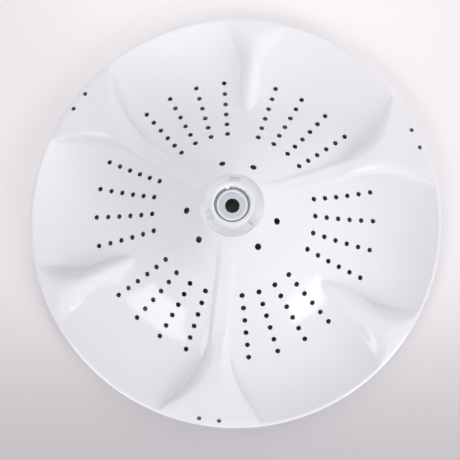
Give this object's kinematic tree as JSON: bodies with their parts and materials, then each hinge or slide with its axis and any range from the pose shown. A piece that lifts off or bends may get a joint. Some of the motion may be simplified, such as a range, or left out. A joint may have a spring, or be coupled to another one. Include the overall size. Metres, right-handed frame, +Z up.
{
  "type": "washing machine pulsator",
  "caption": "Shallow moulded wash plate with broad and short flaring fins, rows of drain holes and a splined metal drive insert in its raised hub.",
  "frame": {"origin": "on the disc's axis, in the plane that the ribs under the disc stand on", "axes": "+Z up along the disc's axis, +X along the centre line of one broad fin"},
  "size_m": [0.411, 0.411, 0.1106],
  "materials": {
    "white_plastic": "glossy moulded, with soft reflections",
    "bright_steel": "turned and lightly worn"
  },
  "bodies": {
    "root": {"pulsator_body": "white_plastic", "drive_insert": "bright_steel"}
  },
  "joints": []
}
